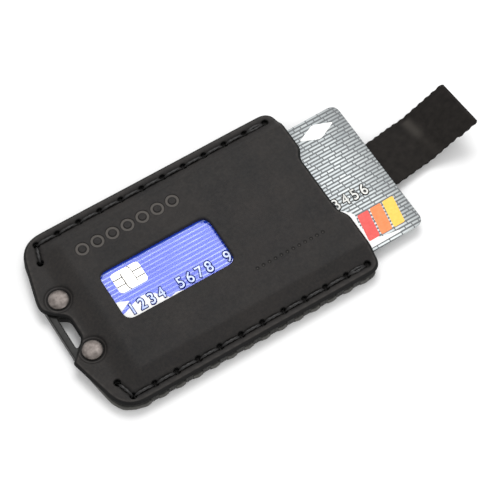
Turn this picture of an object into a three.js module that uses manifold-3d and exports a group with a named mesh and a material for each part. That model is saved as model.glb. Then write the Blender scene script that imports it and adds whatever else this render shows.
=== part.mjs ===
// A slim card holder: a moulded leather front sewn to a metal back frame, two cards in it,
// and a webbing strap that loops round the rear card and draws it out of the mouth.
// Millimetres. +X runs to the mouth, +Y across, +Z up through the front. It lies on its back at z = 0.
import * as THREE from "three";
import { mergeVertices } from "three/addons/utils/BufferGeometryUtils.js";
import Module from "manifold-3d";

const wasm = await Module();
wasm.setup();

// ---------------------------------------------------------------- driving dimensions
const leather = {
  closedEnd: -52.3, // the flat at the closed end
  mouth: 50.8,
  halfWidth: 35.0,
  flatHalf: 12.5, // half of the flat at the closed end, before the slants
  shoulder: -46.6, // where the slant would meet the long edge
  under: 4.05, // underside where it is sewn down
  thickness: 1.45,
  raise: 2.9, // how far the moulded middle stands above the seam
  dome: 0.15,
  rampOut: 31.0, // the side slopes, as distances from the middle
  rampIn: 27.2,
  endRamp: [-42.6, -38.2],
  scallop: { y: -1.2, half: 10.6, floor: -45.7, floorHalf: 4.3 }, // cut out round the lanyard slot
  notch: { low: -10.8, high: 12.4, ramp: 3.4, depth: 2.2 }, // the thumb notch in the mouth
};
const frame = {
  closedEnd: -51.2,
  mouth: 50.2,
  halfWidth: 34.2,
  shoulder: -45.9,
  floor: 2.3, // the pocket's floor
  rail: 3.5, // top of the rails that the leather is sewn to
  pocketEnd: -40.5,
  pocketHalf: 29.9,
  lip: { out: 1.2, height: 2.1, round: 0.45 }, // the low lip round the outside
  rib: { first: -35.9, pitch: 6.385, count: 13, length: 2.9, out: 0.75, top: 3.4 },
};
const seam = {
  y: 31.7,
  first: -42.0,
  pitch: 8.08,
  count: 12,
  inner: [-44.1, 25.1], // the last hole, set inwards at the closed end
  holeRadius: 1.0,
  threadRadius: 0.6,
  postRadius: 0.5,
  grooveHalf: 0.95,
  grooveDepth: 0.85,
  backGroove: 0.95,
};
const slot = { x: [-48.9, -45.4], y: -0.8, barHalf: 6.7, innerHalf: 4.2, round: 1.4 }; // for a lanyard
const rivet = {
  at: { left: [-45.6, 10.3], right: [-45.1, -11.0] },
  capRadius: 3.45,
  shank: 1.25,
  hole: 1.6,
  seat: 4.5,
};
const window_ = { x: [-30.9, 10.4], y: [-9.3, 10.4], radius: 3.5 };
const card = { length: 85.6, width: 53.98, thickness: 0.76, radius: 3.18 };
const chip = { length: 10.6, width: 8.0, radius: 1.4, left: 9.7, up: 27.0 + 4.4, depth: 0.3, gap: 0.12 };
const frontCard = { mouthEnd: 48.3, y: 0.2, z: 5.9, turn: 0 };
const rearCard = { mouthEnd: 71.6, y: -1.2, z: 3.7, turn: 0.65 };
const lining = { x: [-39.2, 48.4], half: 34.0 };
const strap = {
  y: -1.7,
  width: 19.0,
  bottom: 2.45,
  thickness: 0.9,
  bendX: -14.6, // inside of the turn round the rear card's end
  runFrom: 9.8,
  hingeX: 87.2,
  gap: 0.3,
  legBottom: 4.66,
  legThickness: 0.6,
  legEnd: 44.5, // where the fixed leg is bonded under the lining
  tail: { angle: 31, length: 20.2, hem: 8.5 },
};

// ---------------------------------------------------------------- materials
const material = (color, roughness, metalness = 0) =>
  new THREE.MeshStandardMaterial({ color, roughness, metalness });
const looks = {
  leather: material(0x423e3d, 0.6),
  lining: material(0x1f1d1c, 0.85),
  frame: material(0x34332f, 0.45, 0.7),
  pewter: material(0x968c87, 0.35, 0.9),
  thread: material(0x1e1c1c, 0.6),
  webbing: material(0x2d2a28, 0.75),
  frontCard: material(0x3a55c8, 0.35),
  rearCard: material(0xb4b9bc, 0.35),
  chip: material(0xd8d4c6, 0.25, 0.9),
};

// ---------------------------------------------------------------- helpers
function solid(geometry) {
  const bare = geometry.clone();
  bare.deleteAttribute("normal");
  bare.deleteAttribute("uv");
  const merged = mergeVertices(bare, 1e-4);
  return new wasm.Manifold(
    new wasm.Mesh({
      numProp: 3,
      vertProperties: new Float32Array(merged.attributes.position.array),
      triVerts: new Uint32Array(merged.index.array),
    }),
  );
}

function geometryOf(manifold) {
  const mesh = manifold.getMesh();
  const geometry = new THREE.BufferGeometry();
  geometry.setAttribute("position", new THREE.BufferAttribute(mesh.vertProperties, 3));
  geometry.setIndex(new THREE.BufferAttribute(mesh.triVerts, 1));
  geometry.computeVertexNormals();
  return geometry;
}

const union = (solids) => solids.reduce((a, b) => a.add(b));
const cut = (body, tools) => tools.reduce((a, b) => a.subtract(b), body);

// A closed outline whose corners [x, y, t] are rounded over the length t on each side.
function outline(corners, Kind = THREE.Shape) {
  const path = new Kind();
  corners.forEach(([x, y, t], i) => {
    const corner = new THREE.Vector2(x, y);
    const before = new THREE.Vector2(...corners.at(i - 1));
    const after = new THREE.Vector2(...corners[(i + 1) % corners.length]);
    const start = corner.clone().add(before.sub(corner).setLength(t));
    const end = corner.clone().add(after.sub(corner).setLength(t));
    if (i === 0) path.moveTo(start.x, start.y);
    else path.lineTo(start.x, start.y);
    path.quadraticCurveTo(x, y, end.x, end.y);
  });
  path.closePath();
  return path;
}

function prism(shape, low, high, curveSegments = 6, bevel = 0) {
  const geometry = new THREE.ExtrudeGeometry(shape, {
    depth: high - low - 2 * bevel,
    curveSegments,
    bevelEnabled: bevel > 0,
    bevelSize: bevel,
    bevelThickness: bevel,
    bevelOffset: -bevel,
    bevelSegments: 2,
  });
  return solid(geometry.translate(0, 0, low + bevel));
}

function box([x0, x1], [y0, y1], [z0, z1]) {
  const geometry = new THREE.BoxGeometry(x1 - x0, y1 - y0, z1 - z0);
  return solid(geometry.translate((x0 + x1) / 2, (y0 + y1) / 2, (z0 + z1) / 2));
}

function post(x, y, low, high, radius, sides = 10) {
  const geometry = new THREE.CylinderGeometry(radius, radius, high - low, sides);
  return solid(geometry.rotateX(Math.PI / 2).translate(x, y, (low + high) / 2));
}

// A bar from one point to another: a box of the given width and height laid along the line.
function bar([x0, y0], [x1, y1], width, [z0, z1]) {
  const geometry = new THREE.BoxGeometry(Math.hypot(x1 - x0, y1 - y0), width, z1 - z0);
  geometry.rotateZ(Math.atan2(y1 - y0, x1 - x0));
  return solid(geometry.translate((x0 + x1) / 2, (y0 + y1) / 2, (z0 + z1) / 2));
}

// A strip of webbing: its side profile in X and Z, [x, z] points, extruded across Y.
function strip(profile, y, width) {
  const shape = new THREE.Shape(profile.map(([x, z]) => new THREE.Vector2(x, z)));
  const geometry = new THREE.ExtrudeGeometry(shape, { depth: width, bevelEnabled: false });
  return solid(geometry.rotateX(Math.PI / 2).translate(0, y + width / 2, 0));
}

const group = new THREE.Group();

function place(name, manifold, look, parent = group) {
  const mesh = new THREE.Mesh(geometryOf(manifold), look);
  mesh.name = name;
  parent.add(mesh);
  return mesh;
}

// ---------------------------------------------------------------- stitch holes
// side is +1 for the left seam (+Y) and -1 for the right one.
function holes(side) {
  const row = Array.from({ length: seam.count }, (_, i) => [seam.first + i * seam.pitch, side * seam.y]);
  return [[seam.inner[0], side * seam.inner[1]], ...row];
}

const bothSides = [...holes(1), ...holes(-1)];

const holeCutters = (low, high, sides) =>
  bothSides.map(([x, y]) => post(x, y, low, high, seam.holeRadius, sides));

// The groove that the stitches lie in, from hole to hole.
function grooves(low, high) {
  return [1, -1].flatMap((side) => {
    const [inner, first, ...rest] = holes(side);
    const last = rest.at(-1);
    const width = 2 * seam.grooveHalf;
    return [bar(first, last, width, [low, high]), bar(inner, first, width, [low, high])];
  });
}

// ---------------------------------------------------------------- front leather
const smooth = (t) => {
  const s = THREE.MathUtils.clamp(t, 0, 1);
  return s * s * (3 - 2 * s);
};

function raised(x, y) {
  const side = smooth((leather.rampOut - Math.abs(y)) / (leather.rampOut - leather.rampIn));
  const [from, to] = leather.endRamp;
  const end = smooth((x - from) / (to - from));
  const dome = leather.dome * (1 - (y / leather.rampOut) ** 2);
  return side * end * (leather.raise + dome);
}

// A slab between two copies of the moulded surface, wider than the outline on every side.
function mouldedSlab() {
  const steps = (from, to, n) => Array.from({ length: n + 1 }, (_, i) => from + ((to - from) * i) / n);
  const ramp = steps(leather.rampOut, leather.rampIn, 6);
  const halfY = [...ramp, 18, 9];
  const ys = [-40, ...halfY.map((y) => -y), 0, ...halfY.reverse(), 40];
  const xs = [-58, ...steps(...leather.endRamp, 6), 56];
  const width = ys.length;
  const points = [];
  for (const layer of [leather.under, leather.under + leather.thickness]) {
    for (const x of xs) for (const y of ys) points.push(x, y, layer + raised(x, y));
  }
  const at = (top, i, j) => top * xs.length * width + i * width + j;
  const faces = [];
  const quad = (a, b, c, d) => faces.push(a, b, c, a, c, d);
  for (let i = 0; i + 1 < xs.length; i++) {
    for (let j = 0; j + 1 < width; j++) {
      quad(at(1, i, j), at(1, i + 1, j), at(1, i + 1, j + 1), at(1, i, j + 1));
      quad(at(0, i, j), at(0, i, j + 1), at(0, i + 1, j + 1), at(0, i + 1, j));
    }
    quad(at(0, i, 0), at(0, i + 1, 0), at(1, i + 1, 0), at(1, i, 0));
    quad(at(0, i + 1, width - 1), at(0, i, width - 1), at(1, i, width - 1), at(1, i + 1, width - 1));
  }
  const last = xs.length - 1;
  for (let j = 0; j + 1 < width; j++) {
    quad(at(0, 0, j + 1), at(0, 0, j), at(1, 0, j), at(1, 0, j + 1));
    quad(at(0, last, j), at(0, last, j + 1), at(1, last, j + 1), at(1, last, j));
  }
  const geometry = new THREE.BufferGeometry();
  geometry.setAttribute("position", new THREE.Float32BufferAttribute(points, 3));
  geometry.setIndex(faces);
  return solid(geometry);
}

function frontLeather() {
  const { notch, mouth, closedEnd, halfWidth, scallop } = leather;
  const shape = outline([
    [mouth, -halfWidth, 5],
    [mouth, notch.low - notch.ramp, 1.2],
    [mouth - notch.depth, notch.low, 1.2],
    [mouth - notch.depth, notch.high, 1.2],
    [mouth, notch.high + notch.ramp, 1.2],
    [mouth, halfWidth, 5],
    [leather.shoulder, halfWidth, 8],
    [closedEnd, leather.flatHalf, 1.2],
    [closedEnd, scallop.y + scallop.half, 1],
    [scallop.floor, scallop.y + scallop.floorHalf, 1.5],
    [scallop.floor, scallop.y - scallop.floorHalf, 1.5],
    [closedEnd, scallop.y - scallop.half, 0.3],
    [closedEnd, -leather.flatHalf, 0.3],
    [leather.shoulder, -halfWidth, 8],
  ]);
  const [x0, x1] = window_.x;
  const [y0, y1] = window_.y;
  const r = window_.radius;
  shape.holes.push(outline([[x0, y0, r], [x0, y1, r], [x1, y1, r], [x1, y0, r]], THREE.Path));
  const sheet = prism(shape, 0, 12).intersect(mouldedSlab());
  const top = leather.under + leather.thickness;
  const rivetCuts = Object.values(rivet.at).flatMap(([x, y]) => [
    post(x, y, 0, 12, rivet.hole, 16),
    post(x, y, top - 0.35, 12, rivet.seat, 20),
  ]);
  return cut(sheet, [...holeCutters(0, 12, 10), ...grooves(top - seam.grooveDepth, 12), ...rivetCuts]);
}

// ---------------------------------------------------------------- back frame
function frameOutline(out) {
  const mouth = frame.mouth + out / 2;
  const side = frame.halfWidth + out;
  const shoulder = frame.shoulder - 0.75 * out;
  return outline([
    [mouth, -side, 5],
    [mouth, side, 5],
    [shoulder, side, 8],
    [frame.closedEnd, leather.flatHalf, 2],
    [frame.closedEnd, -leather.flatHalf, 2],
    [shoulder, -side, 8],
  ]);
}

function backFrame() {
  const { lip, rib } = frame;
  const beyond = frame.halfWidth + lip.out + 1;
  const ribX = Array.from({ length: rib.count }, (_, i) => rib.first + i * rib.pitch);
  const face = frame.halfWidth + rib.out;
  const bands = [[face, beyond], [-beyond, -face]];
  const recesses = ribX.flatMap((x) =>
    bands.map((band) => box([x - rib.length / 2 - 0.15, x + rib.length / 2 + 0.15], band, [-1, frame.rail])),
  );
  const blocks = ribX.flatMap((x) =>
    [1, -1].map((side) =>
      box(
        [x - rib.length / 2, x + rib.length / 2],
        side > 0 ? [frame.halfWidth - 0.5, face] : [-face, 0.5 - frame.halfWidth],
        [0.4, rib.top],
      ),
    ),
  );
  const body = prism(frameOutline(0), 0, frame.rail);
  const lipRing = prism(frameOutline(lip.out), 0, lip.height, 6, lip.round);
  const slotShape = outline([
    [slot.x[0], slot.y - slot.barHalf, slot.round],
    [slot.x[1], slot.y - slot.innerHalf, slot.round],
    [slot.x[1], slot.y + slot.innerHalf, slot.round],
    [slot.x[0], slot.y + slot.barHalf, slot.round],
  ]);
  const pocket = box(
    [frame.pocketEnd, frame.mouth + 5],
    [-frame.pocketHalf, frame.pocketHalf],
    [frame.floor, 10],
  );
  const rivetCuts = Object.values(rivet.at).flatMap(([x, y]) => [
    post(x, y, -1, 10, rivet.hole, 16),
    post(x, y, -1, 1.3, rivet.capRadius + 0.15, 20),
  ]);
  return cut(union([cut(lipRing, recesses), body, ...blocks]), [
    pocket,
    prism(slotShape, -1, 10),
    ...rivetCuts,
    ...holeCutters(-1, 10, 8),
    ...grooves(-1, seam.backGroove),
  ]);
}

// ---------------------------------------------------------------- lining between the cards
function liningSheet() {
  const upper = [[28.4, 5.65], [29.3, 5.1], [29.8, 4.55], [30.2, 4.2], [30.6, 3.92], [lining.half, 3.9]];
  const lower = [[28.2, 5.4], [29.1, 4.85], [29.6, 4.3], [30.0, 3.9], [30.4, 3.64], [lining.half, 3.62]];
  const flip = (points) => points.map(([y, z]) => [-y, z]);
  const ring = [...lower, ...[...upper].reverse(), ...flip(upper), ...flip(lower).reverse()];
  const shape = new THREE.Shape(ring.map(([y, z]) => new THREE.Vector2(y, z)));
  const length = lining.x[1] - lining.x[0];
  const geometry = new THREE.ExtrudeGeometry(shape, { depth: length, bevelEnabled: false });
  geometry.rotateX(Math.PI / 2).rotateZ(Math.PI / 2).translate(lining.x[0], 0, 0);
  return cut(solid(geometry), holeCutters(0, 12, 8));
}

// ---------------------------------------------------------------- seam thread and rivets
// Thread on the front and in the groove at the back, joined by a post in every hole.
function seamThread(side) {
  const [inner, first, ...rest] = holes(side);
  const front = leather.under + leather.thickness - 0.15;
  const last = rest.at(-1);
  const past = 0.3;
  const length = last[0] - first[0] + 2 * past;
  const run = new THREE.CylinderGeometry(seam.threadRadius, seam.threadRadius, length, 8);
  run.rotateZ(Math.PI / 2).translate((first[0] + last[0]) / 2, first[1], front);
  const slant = new THREE.CylinderGeometry(
    seam.threadRadius - 0.04,
    seam.threadRadius - 0.04,
    Math.hypot(first[0] - inner[0], first[1] - inner[1]) + 0.5,
    8,
  );
  slant.rotateZ(Math.PI / 2 + Math.atan2(first[1] - inner[1], first[0] - inner[0]));
  slant.translate((first[0] + inner[0]) / 2, (first[1] + inner[1]) / 2, front - 0.02);
  const posts = holes(side).map(([x, y]) => post(x, y, 0.2, front + 0.27, seam.postRadius, 6));
  const ends = [[first[0] - past, first[1]], [last[0] + past, last[1]]];
  const back = [bar(...ends, 0.8, [0.15, 0.7]), bar(inner, first, 0.76, [0.16, 0.69])];
  return union([solid(run), solid(slant), ...posts, ...back]);
}

function lathe(profile, x, y) {
  const geometry = new THREE.LatheGeometry(profile.map(([r, z]) => new THREE.Vector2(r, z)), 24);
  return solid(geometry.rotateX(Math.PI / 2).translate(x, y, 0));
}

function rivetCap(x, y) {
  const seat = leather.under + leather.thickness - 0.2;
  const r = rivet.capRadius;
  return lathe(
    [[0, seat + 0.75], [1.5, seat + 0.75], [1.5, seat], [r - 0.15, seat], [r, seat + 0.15],
      [r - 0.1, seat + 0.45], [r * 0.8, seat + 0.8], [r * 0.45, seat + 1.08], [0, seat + 1.2]],
    x,
    y,
  );
}

function rivetPost(x, y) {
  const top = leather.under + leather.thickness + 0.25;
  const r = rivet.capRadius - 0.2;
  return lathe(
    [[0, 0.15], [r, 0.15], [r, 0.7], [r - 0.3, 1.0], [rivet.shank, 1.0], [rivet.shank, top - 0.2],
      [rivet.shank - 0.2, top], [0, top]],
    x,
    y,
  );
}

// ---------------------------------------------------------------- cards
// Made with the mouth end on x = 0 and the middle on y = 0, then placed by the group.
function cardBody() {
  const { length, width, thickness, radius } = card;
  const half = width / 2;
  const corners = [[-length, -half], [0, -half], [0, half], [-length, half]];
  return prism(outline(corners.map((corner) => [...corner, radius])), 0, thickness);
}

function chipShape(grow) {
  const x0 = -card.length + chip.left - grow;
  const y0 = chip.up - chip.width - card.width / 2 - grow;
  const x1 = x0 + chip.length + 2 * grow;
  const y1 = y0 + chip.width + 2 * grow;
  const r = chip.radius;
  return outline([[x0, y0, r], [x1, y0, r], [x1, y1, r], [x0, y1, r]]);
}

function placeCard(name, spot, look) {
  const holder = new THREE.Group();
  holder.position.set(spot.mouthEnd, spot.y, spot.z);
  holder.rotation.z = THREE.MathUtils.degToRad(spot.turn);
  const recess = prism(chipShape(chip.gap), card.thickness - chip.depth, 5);
  place(name, cardBody().subtract(recess), look, holder);
  const plate = prism(chipShape(0), card.thickness - chip.depth + chip.gap, card.thickness);
  place(name + "_chip", plate, looks.chip, holder);
  group.add(holder);
}

// ---------------------------------------------------------------- pull strap
function strapBend() {
  const { bendX, bottom, thickness, legBottom, legThickness } = strap;
  const end = bendX + 1.6;
  const top = legBottom + legThickness;
  return strip(
    [
      [end, bottom], [end, bottom + thickness],
      [bendX + 0.2, bottom + thickness], [bendX, bottom + thickness + 0.2],
      [bendX, legBottom - 0.1], [bendX + 0.2, legBottom], [end, legBottom], [end, top],
      [bendX - 0.2, top], [bendX - 0.9, top - 0.7], [bendX - 0.9, bottom + 0.7], [bendX - 0.2, bottom],
    ],
    strap.y,
    strap.width,
  );
}

function flatRun(from, to, bottom, thickness) {
  const half = strap.width / 2;
  return box([from, to], [strap.y - half, strap.y + half], [bottom, bottom + thickness]);
}

// The tail past the hinge line: straight and tilted up, with its end folded back underneath.
function strapTail() {
  const { tail, thickness, hingeX, gap } = strap;
  const middle = strap.bottom + thickness / 2;
  const angle = THREE.MathUtils.degToRad(tail.angle);
  const at = (along, up) => [
    hingeX + along * Math.cos(angle) - up * Math.sin(angle),
    middle + along * Math.sin(angle) + up * Math.cos(angle),
  ];
  const half = thickness / 2;
  const fold = tail.length - tail.hem;
  const corners = [
    [gap + 0.1, half], [tail.length - 0.5, half], [tail.length, 0], [tail.length, -2 * half],
    [tail.length - 0.5, -3 * half], [fold, -3 * half], [fold, -half], [gap + 0.1, -half],
  ];
  return strip(corners.map(([along, up]) => at(along, up)).reverse(), strap.y, strap.width);
}

// ---------------------------------------------------------------- the assembly
place("back_frame", backFrame(), looks.frame);
place("front_leather", frontLeather(), looks.leather);
place("lining_sheet", liningSheet(), looks.lining);
for (const [name, side] of [["left", 1], ["right", -1]]) {
  place("seam_thread_" + name, seamThread(side), looks.thread);
  place("rivet_cap_" + name, rivetCap(...rivet.at[name]), looks.pewter);
  place("rivet_post_" + name, rivetPost(...rivet.at[name]), looks.pewter);
}
placeCard("front_card", frontCard, looks.frontCard);
placeCard("rear_card", rearCard, looks.rearCard);
const strapRun = flatRun(strap.runFrom, strap.hingeX - strap.gap, strap.bottom, strap.thickness);
place("pull_strap", strapRun, looks.webbing);
place("strap_tail", strapTail(), looks.webbing);
place("strap_bend", strapBend(), looks.webbing);
place(
  "strap_inner_run",
  flatRun(strap.bendX + 1.9, strap.runFrom - strap.gap, strap.bottom, strap.thickness),
  looks.webbing,
);
place(
  "strap_fixed_leg",
  flatRun(strap.bendX + 1.9, strap.legEnd, strap.legBottom, strap.legThickness),
  looks.webbing,
);

export default group;
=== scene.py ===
"""A slim card holder: moulded leather sewn to a dark metal frame, two cards and a webbing pull strap.

Lengths are in millimetres until mesh_object() turns them into metres. +X runs to the mouth, +Y across,
+Z up through the leather, as in the CAD frame.
"""

import math

import bmesh
import bpy
import numpy as np
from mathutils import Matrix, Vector, geometry, kdtree


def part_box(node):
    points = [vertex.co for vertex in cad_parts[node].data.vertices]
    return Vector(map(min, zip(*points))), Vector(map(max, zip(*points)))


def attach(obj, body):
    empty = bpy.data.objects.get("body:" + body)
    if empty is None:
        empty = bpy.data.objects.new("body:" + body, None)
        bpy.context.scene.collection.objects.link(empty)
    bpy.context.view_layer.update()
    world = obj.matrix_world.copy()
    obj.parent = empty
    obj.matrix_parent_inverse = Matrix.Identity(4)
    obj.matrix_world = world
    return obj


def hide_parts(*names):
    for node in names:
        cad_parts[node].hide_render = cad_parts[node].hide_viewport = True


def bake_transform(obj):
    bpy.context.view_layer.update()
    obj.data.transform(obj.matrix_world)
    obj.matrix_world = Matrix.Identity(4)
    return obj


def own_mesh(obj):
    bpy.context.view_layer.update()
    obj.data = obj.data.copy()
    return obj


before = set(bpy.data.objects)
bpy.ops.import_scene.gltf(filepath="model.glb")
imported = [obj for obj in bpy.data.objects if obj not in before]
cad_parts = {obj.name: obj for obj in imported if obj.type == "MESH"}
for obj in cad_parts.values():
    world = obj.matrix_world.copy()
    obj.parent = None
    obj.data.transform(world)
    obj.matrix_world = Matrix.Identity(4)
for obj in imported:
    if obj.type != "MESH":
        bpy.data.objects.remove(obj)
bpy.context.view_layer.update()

MM = 0.001

# -------- driving dimensions
SEAM_TOP = 5.5  # leather's face along the seams
LEATHER_THICK = 1.45
RAISE = 2.9  # the moulded middle above the seams
DOME = 0.15
RAMP_OUT, RAMP_IN = 31.0, 27.2  # the side slopes of the underside, as distances from the middle
END_RAMP = (-42.6, -38.2)
FACE_RAMP_OUT, FACE_RAMP_IN = 31.7, 25.4  # the face slopes more gently than the underside
FACE_END_RAMP = (-44.6, -35.2)
CLOSED_END, MOUTH, HALF_WIDTH = -52.3, 50.8, 35.0
FLAT_HALF = 12.5
SHOULDER = -46.6

SEAM_Y = 31.7
HOLE_FIRST, HOLE_PITCH, HOLE_COUNT = -42.0, 8.08, 12
INNER_HOLE = (-44.1, 25.1)
HOLE_RADIUS, FRAME_HOLE_RADIUS = 1.1, 1.0
THREAD_RADIUS, PLY_PITCH = 0.55, 2.6
GROOVE_HALF, GROOVE_DEPTH = 1.3, 0.6
BACK_GROOVE_HALF, BACK_GROOVE_DEPTH = 1.06, 0.9

RIVETS = {"left": (-45.6, 10.3), "right": (-45.1, -11.0)}
RIVET_RADIUS, RIVET_HOLE = 3.45, 1.6
SEAT_RADIUS, SEAT_SLOPE, SEAT_DROP = 5.3, 1.7, 0.5  # the pressed seat round each rivet
BEAD_RADIUS, BEAD_HEIGHT = 4.15, 0.16  # a raised ring in the seat
MOAT_RADIUS, MOAT_DEPTH = 4.65, 0.12  # and a groove outside it
BACK_SEAT_RADIUS, BACK_SEAT_DEPTH = 3.62, 1.25

FRAME_END, FRAME_MOUTH, FRAME_HALF, FRAME_SHOULDER = -51.2, 50.2, 34.2, -46.3
FRAME_FLOOR, FRAME_RAIL = 2.3, 3.5
POCKET_END, POCKET_HALF = -40.5, 29.9
SLOT = [(-48.9, -7.5, 1.4), (-45.4, -5.0, 1.4), (-45.4, 3.4, 1.4), (-48.9, 5.9, 1.4)]
RIB_FIRST, RIB_PITCH, RIB_COUNT, RIB_LENGTH = -35.9, 6.385, 13, 2.9
TOOTH_PITCH, TOOTH_DEPTH = 0.58, 0.09

WINDOW_X, WINDOW_Y, WINDOW_RADIUS = (-30.9, 10.4), (-9.3, 10.4), 3.5

CARD_LENGTH, CARD_WIDTH, CARD_THICK, CARD_RADIUS = 85.6, 53.98, 0.76, 3.18
DIGIT_PITCH, DIGIT_LEFT, DIGIT_LINE, DIGIT_HEIGHT = 3.63, 10.18, -5.85, 4.2
NUMBER, GROUP_GAP = ["1234", "5678", "9012", "3456"], 0.98
CHIP_X, CHIP_Y, CHIP_RADIUS = (9.7, 20.3), (0.4, 8.4), 1.5
RULE_PITCH, ROW_PITCH, ROW_SHIFT = 1.58, 1.3, 5.07  # the printed rules and rows

LINING_X, LINING_HALF_THICK = (-39.2, 48.4), 0.1

STRAP_Y, STRAP_WIDTH, STRAP_MIDDLE, STRAP_THICK = -1.7, 19.0, 2.9, 0.9
STRAP_FROM, HINGE_X = 9.8, 87.2
TAIL_ANGLE, TAIL_LENGTH, HEM = math.radians(31), 20.2, 8.5
TAIL_CURVE = 2.2  # the tail turns up over this length on both sides of the hinge line
# Beyond the card the pulled strap lies a little askew: how much, from which x, and over what length.
STRAP_SLEW, SLEW_FROM, SLEW_OVER = 0.085, 74, 12
STRAP_DRIFT, DRIFT_FROM, DRIFT_OVER = 1.6, 70, 18
BEND_X, BEND_END = -14.6, -13.9
RUN_START, INNER_END = BEND_END + 0.3, 9.5
LEG_MIDDLE, LEG_THICK, LEG_END = 4.96, 0.6, 44.5
WEAVE, WEAVE_PITCH, WEAVE_COLUMNS, SELVEDGE_PITCH = 0.05, 1.5, 21, 2.9
# where and how wide the painted highlight across the bend lies
BEND_HIGHLIGHT_X, BEND_HIGHLIGHT_WIDTH = 89.2, 1.5

DARKEST, HIGHLIGHT_LIFT = (0.003, 0.003, 0.003), 2.2  # the colour the painted tones darken towards (shade in holes, grooves and gaps), and how much paler the metal's painted highlights are


# -------- outlines and surfaces
def smooth(t):
    t = np.clip(t, 0.0, 1.0)
    return t * t * (3 - 2 * t)


def rounded(corners, steps=10):
    """A closed outline through corners (x, y, t), each rounded over the length t on both sides."""
    points = []
    for i, (x, y, t) in enumerate(corners):
        corner = np.array([x, y], float)
        before = np.array(corners[i - 1][:2]) - corner
        after = np.array(corners[(i + 1) % len(corners)][:2]) - corner
        start = corner + before / np.linalg.norm(before) * t
        end = corner + after / np.linalg.norm(after) * t
        for s in np.linspace(0, 1, steps + 1):
            points.append((1 - s) ** 2 * start + 2 * s * (1 - s) * corner + s * s * end)
    return np.array(points)


def rectangle(x, y, radius):
    return rounded([(x[0], y[0], radius), (x[1], y[0], radius), (x[1], y[1], radius), (x[0], y[1], radius)])


def bell(x, middle, width):
    return np.exp(-((x - middle) / width) ** 2)


def circle(x, y, radius, count):
    turn = np.arange(count) * 2 * math.pi / count
    return np.stack([x + radius * np.cos(turn), y + radius * np.sin(turn)], axis=1)


def spaced(loop, step):
    """A closed loop resampled at even steps."""
    closed = np.vstack([loop, loop[:1]])
    along = np.concatenate([[0], np.cumsum(np.linalg.norm(np.diff(closed, axis=0), axis=1))])
    count = max(8, round(along[-1] / step))
    at = np.arange(count) * along[-1] / count
    return np.stack([np.interp(at, along, closed[:, k]) for k in (0, 1)], axis=1)


def outward(loop):
    """The outward normals of an anticlockwise loop."""
    ahead = np.roll(loop, -1, axis=0) - np.roll(loop, 1, axis=0)
    ahead = ahead / np.linalg.norm(ahead, axis=1)[:, None]
    return np.stack([ahead[:, 1], -ahead[:, 0]], axis=1)


def inside(points, loop):
    """Which points lie inside the loop: those whose line to the right crosses it an odd number of times."""
    x, y = points[:, 0], points[:, 1]
    crossings = np.zeros(len(points), int)
    for (x0, y0), (x1, y1) in zip(loop, np.roll(loop, -1, axis=0)):
        if y0 != y1:
            crossings += ((y0 > y) != (y1 > y)) & (x < (x1 - x0) * (y - y0) / (y1 - y0) + x0)
    return crossings % 2 == 1


def distance_to_points(points, others):
    """How far each point lies from the nearest of the others."""
    tree = kdtree.KDTree(len(others))
    for i, (x, y) in enumerate(others):
        tree.insert((x, y, 0), i)
    tree.balance()
    return np.array([tree.find((x, y, 0))[2] for x, y in points])


def distance_to(points, loops):
    """How far each point lies from the nearest of the loops."""
    return distance_to_points(points, np.vstack([spaced(loop, 0.06) for loop in loops]))


def distance_to_lines(points, lines):
    """How far each point lies from the nearest of the straight lines ((x0, y0), (x1, y1))."""
    nearest = np.full(len(points), np.inf)
    for a, b in lines:
        a, b = np.array(a), np.array(b)
        along = np.clip((points - a) @ (b - a) / ((b - a) @ (b - a)), 0, 1)
        nearest = np.minimum(nearest, np.linalg.norm(points - a - along[:, None] * (b - a), axis=1))
    return nearest


def round_off(points, loops, radius):
    """The drop of a surface that rounds over into the loops' edges."""
    short = np.clip(radius - distance_to(points, loops), 0, radius)
    return radius - np.sqrt(radius**2 - short**2)


def triangulate(outer, holes, grid, rings, extra=()):
    """Points and triangles of the flat region between the outer loop and the holes.

    The first points are the loops' own, in order. rings are the distances from the loops at which rows
    of points follow them, and extra holds further points."""
    loops = [outer, *holes]
    rows = []
    for step in rings:
        rows.append(outer - outward(outer) * step)
        rows += [hole + outward(hole) * step for hole in holes]
    low, high = outer.min(axis=0), outer.max(axis=0)
    xs = np.arange(low[0], high[0], grid)
    ys = np.arange(low[1], high[1], grid)
    lattice = np.stack(np.meshgrid(xs, ys), axis=-1).reshape(-1, 2)
    row_limits = np.repeat(rings, sum(map(len, loops))) * 0.85
    limits = np.concatenate([row_limits, np.full(len(lattice), max(rings) + grid * 0.5)])
    free = np.vstack([*rows, lattice])
    if len(extra):
        near = distance_to_points(free, extra)
        free, limits = free[near > grid * 0.55], limits[near > grid * 0.55]
        free = np.vstack([extra, free])
        limits = np.concatenate([np.full(len(extra), 0.1), limits])
    keep = inside(free, outer) & (distance_to(free, loops) > limits)
    for hole in holes:
        keep &= ~inside(free, hole)
    points = np.vstack([*loops, free[keep]])
    edges, start = [], 0
    for loop in loops:
        n = len(loop)
        edges += [(start + i, start + (i + 1) % n) for i in range(n)]
        start += n
    made = geometry.delaunay_2d_cdt([Vector(p) for p in points], edges, [], 1, 1e-7)
    points = np.array([tuple(v) for v in made[0]])
    faces = np.array(made[2])
    middles = points[faces].mean(axis=1)
    solid = np.ones(len(faces), bool)
    for hole in holes:
        solid &= ~inside(middles, hole)
    return points, faces[solid]


def band_faces(rows, n):
    """The faces between rows of n points, where each row is a ring."""
    return [
        (k * n + i, (k + 1) * n + i, (k + 1) * n + (i + 1) % n, k * n + (i + 1) % n)
        for k in range(rows - 1) for i in range(n)
    ]


class Build:
    """Collects the vertices and faces of one mesh, in millimetres."""

    def __init__(self):
        self.points, self.faces, self.count = [], [], 0

    def add(self, points, faces):
        self.points.append(np.asarray(points, float))
        self.faces += [tuple(int(i) + self.count for i in face) for face in faces]
        self.count += len(points)

    def wall(self, rings):
        """Joins rings of the same number of points, each anticlockwise seen from above, top ring first."""
        self.add(np.vstack(rings), band_faces(len(rings), len(rings[0])))


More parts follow.
